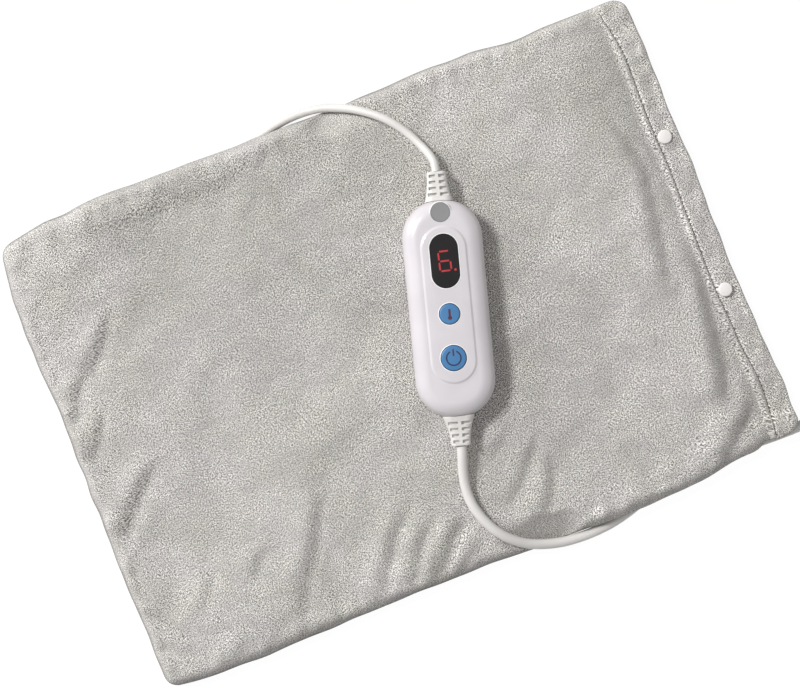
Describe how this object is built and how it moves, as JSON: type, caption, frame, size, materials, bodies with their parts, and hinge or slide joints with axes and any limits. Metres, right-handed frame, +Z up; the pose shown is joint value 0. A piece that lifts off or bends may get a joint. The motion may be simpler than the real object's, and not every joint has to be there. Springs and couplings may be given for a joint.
{
  "type": "heating pad with controller",
  "caption": "Soft rectangular heating pad in a plush snap-closed cover, with a corded hand controller that has a display window and push buttons.",
  "frame": {"origin": "on the resting surface, under the middle of the pad", "axes": "+X along the pad towards the cover's mouth, +Z up out of the pad"},
  "size_m": [0.5477, 0.4391, 0.0396],
  "materials": {
    "plush": "warm grey micro-plush pile",
    "fleece": "off-white needled fleece",
    "housing": "glossy white",
    "cord": "satin white flexible jacket",
    "stud": "white moulded plastic",
    "window": "polished black",
    "badge": "satin grey",
    "button": "satin blue",
    "board": "green solder resist",
    "component": "black moulding",
    "film": "yellow potted box",
    "steel": "bright plated metal",
    "wire": "red insulation",
    "tie": "black band"
  },
  "bodies": {
    "root": {"housing_top": "housing", "housing_bottom": "housing", "housing_screw_1": "steel", "housing_screw_2": "steel", "housing_screw_3": "steel", "housing_screw_4": "steel", "display_window": "window", "badge_disc": "badge", "switch_body_temperature": "component", "switch_body_power": "component", "circuit_board": "board", "display_module": "component", "film_capacitor": "film", "board_fuse": "steel", "power_triac": "component", "smoothing_capacitor": "component", "control_chip": "component", "terminal_block_pad_end": "board", "terminal_block_mains_end": "board", "strain_relief_pad_end": "cord", "cord_clamp_pad_end": "housing", "core_pad_end_1": "wire", "core_pad_end_2": "wire", "strain_relief_mains_end": "cord", "cord_clamp_mains_end": "housing", "core_mains_end_1": "wire", "core_mains_end_2": "wire", "cover_front": "plush", "cover_back": "plush", "insert_bottom": "fleece", "insert_top": "fleece", "heating_wire": "wire", "thermal_cutout": "component", "lead_junction": "component", "return_wire": "wire", "insert_core_1": "wire", "insert_core_2": "wire", "stud_1_cap": "stud", "stud_1_socket": "stud", "stud_1_ball": "stud", "stud_1_back": "stud", "stud_2_cap": "stud", "stud_2_socket": "stud", "stud_2_ball": "stud", "stud_2_back": "stud", "entry_relief": "cord", "pad_lead": "cord", "mains_lead": "cord", "mains_lead_coil": "cord", "coil_tie": "tie", "plug_relief": "cord", "plug_body": "cord", "plug_pin_1": "steel", "plug_pin_2": "steel"},
    "temperature_button": {"button_temperature": "button", "switch_plunger_temperature": "stud"},
    "power_button": {"button_power": "button", "switch_plunger_power": "stud"}
  },
  "joints": [
    {"name": "temperature_press", "type": "slide", "parent": "root", "child": "temperature_button", "axis": [0, 0, -1], "range_m": [0, 0.0008], "stiffness_N_per_m": 900, "springref_m": -0.001},
    {"name": "power_press", "type": "slide", "parent": "root", "child": "power_button", "axis": [0, 0, -1], "range_m": [0, 0.0008], "stiffness_N_per_m": 900, "springref_m": -0.001}
  ]
}
